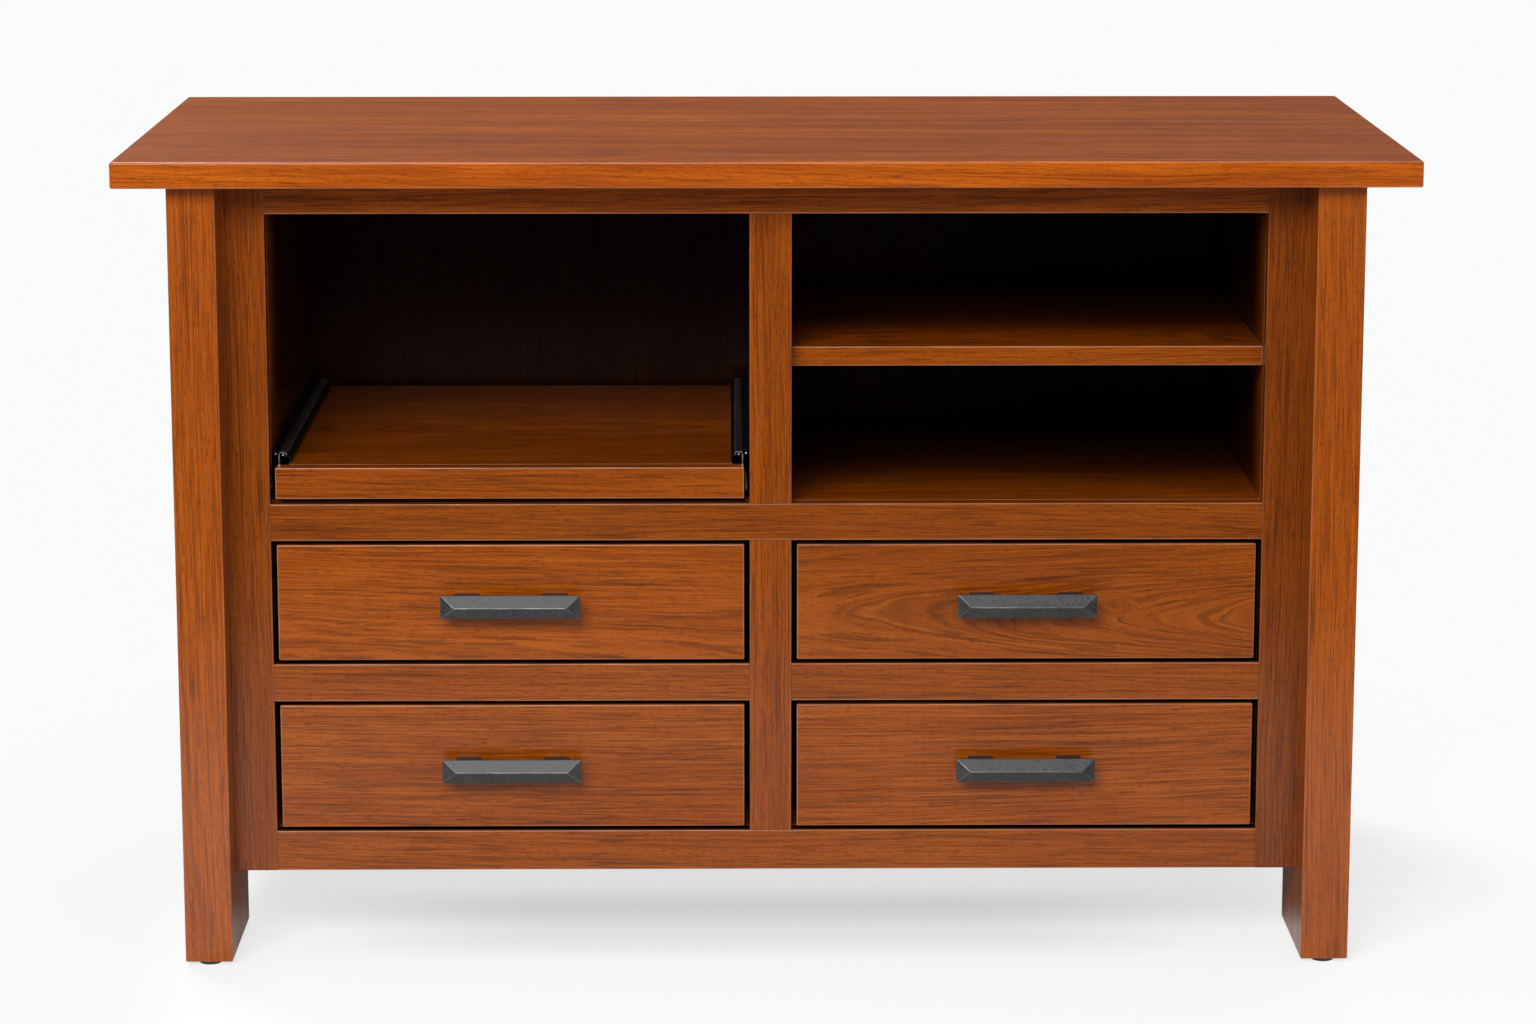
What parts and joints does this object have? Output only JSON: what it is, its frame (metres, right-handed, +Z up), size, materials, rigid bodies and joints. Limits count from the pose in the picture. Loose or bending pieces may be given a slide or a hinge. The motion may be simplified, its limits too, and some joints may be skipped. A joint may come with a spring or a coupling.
{
  "type": "storage cabinet",
  "caption": "Wide, low wooden office cabinet on slab legs, with a pull-out machine shelf and an open shelf bay above inset drawers with faceted bar pulls.",
  "frame": {"origin": "on the floor, below the middle of the top panel", "axes": "+X to the right along the cabinet's length, -Y out of the front, +Z up"},
  "size_m": [1.372, 0.635, 0.88],
  "materials": {
    "cabinet_wood": "satin lacquer",
    "case_ply": "satin lacquer",
    "back_ply": "satin",
    "drawer_wood": "clear satin",
    "drawer_ply": "clear satin",
    "pull": "dark satin",
    "black_steel": "satin black",
    "bright_steel": "zinc plated",
    "glide": "matt"
  },
  "bodies": {
    "cabinet": {"top_panel": "cabinet_wood", "top_screws": "bright_steel", "front_leg_left": "cabinet_wood", "back_leg_left": "cabinet_wood", "front_leg_right": "cabinet_wood", "back_leg_right": "cabinet_wood", "glides": "glide", "side_panel_left": "cabinet_wood", "side_panel_right": "cabinet_wood", "side_rails": "cabinet_wood", "stile_left": "cabinet_wood", "stile_right": "cabinet_wood", "top_rail": "cabinet_wood", "mid_rail": "cabinet_wood", "bottom_rail": "cabinet_wood", "centre_stile_upper": "cabinet_wood", "centre_stile_lower": "cabinet_wood", "drawer_rail_left": "cabinet_wood", "drawer_rail_right": "cabinet_wood", "case_side_left": "case_ply", "divider_left": "case_ply", "divider_right": "case_ply", "case_side_right": "case_ply", "bay_floors": "case_ply", "bottom_panel": "back_ply", "cleats_and_spacers": "drawer_ply", "back_panel": "back_ply", "back_rails": "cabinet_wood", "open_shelf": "cabinet_wood", "shelf_pins": "bright_steel", "pullout_slide_cabinet_channels": "black_steel", "drawer_cabinet_channels": "black_steel"},
    "pullout_shelf": {"pullout_shelf_strip": "cabinet_wood", "pullout_shelf_board": "cabinet_wood", "pullout_slide_shelf_channels": "black_steel"},
    "pullout_slide_middle": {"pullout_slide_middle_channels": "bright_steel"},
    "upper_drawer_left": {"upper_drawer_left_front": "cabinet_wood", "upper_drawer_left_sides": "drawer_wood", "upper_drawer_left_back": "drawer_wood", "upper_drawer_left_bottom": "drawer_ply", "upper_drawer_left_pull": "pull", "upper_drawer_left_slide_channels": "black_steel"},
    "upper_drawer_right": {"upper_drawer_right_front": "cabinet_wood", "upper_drawer_right_sides": "drawer_wood", "upper_drawer_right_back": "drawer_wood", "upper_drawer_right_bottom": "drawer_ply", "upper_drawer_right_pull": "pull", "upper_drawer_right_slide_channels": "black_steel"},
    "lower_drawer_left": {"lower_drawer_left_front": "cabinet_wood", "lower_drawer_left_sides": "drawer_wood", "lower_drawer_left_back": "drawer_wood", "lower_drawer_left_bottom": "drawer_ply", "lower_drawer_left_pull": "pull", "lower_drawer_left_slide_channels": "black_steel"},
    "lower_drawer_right": {"lower_drawer_right_front": "cabinet_wood", "lower_drawer_right_sides": "drawer_wood", "lower_drawer_right_back": "drawer_wood", "lower_drawer_right_bottom": "drawer_ply", "lower_drawer_right_pull": "pull", "lower_drawer_right_slide_channels": "black_steel"}
  },
  "joints": [
    {"name": "pullout_shelf_slide", "type": "slide", "parent": "cabinet", "child": "pullout_shelf", "axis": [0, -1, 0], "range_m": [0, 0.4]},
    {"name": "pullout_slide_middle_slide", "type": "slide", "parent": "cabinet", "child": "pullout_slide_middle", "axis": [0, -1, 0], "range_m": [0, 0.2]},
    {"name": "upper_drawer_left_slide", "type": "slide", "parent": "cabinet", "child": "upper_drawer_left", "axis": [0, -1, 0], "range_m": [0, 0.33]},
    {"name": "upper_drawer_right_slide", "type": "slide", "parent": "cabinet", "child": "upper_drawer_right", "axis": [0, -1, 0], "range_m": [0, 0.33]},
    {"name": "lower_drawer_left_slide", "type": "slide", "parent": "cabinet", "child": "lower_drawer_left", "axis": [0, -1, 0], "range_m": [0, 0.33]},
    {"name": "lower_drawer_right_slide", "type": "slide", "parent": "cabinet", "child": "lower_drawer_right", "axis": [0, -1, 0], "range_m": [0, 0.33]}
  ],
  "couplings": [
    {"joint": "pullout_slide_middle_slide", "follows": "pullout_shelf_slide", "ratio": 0.5}
  ]
}
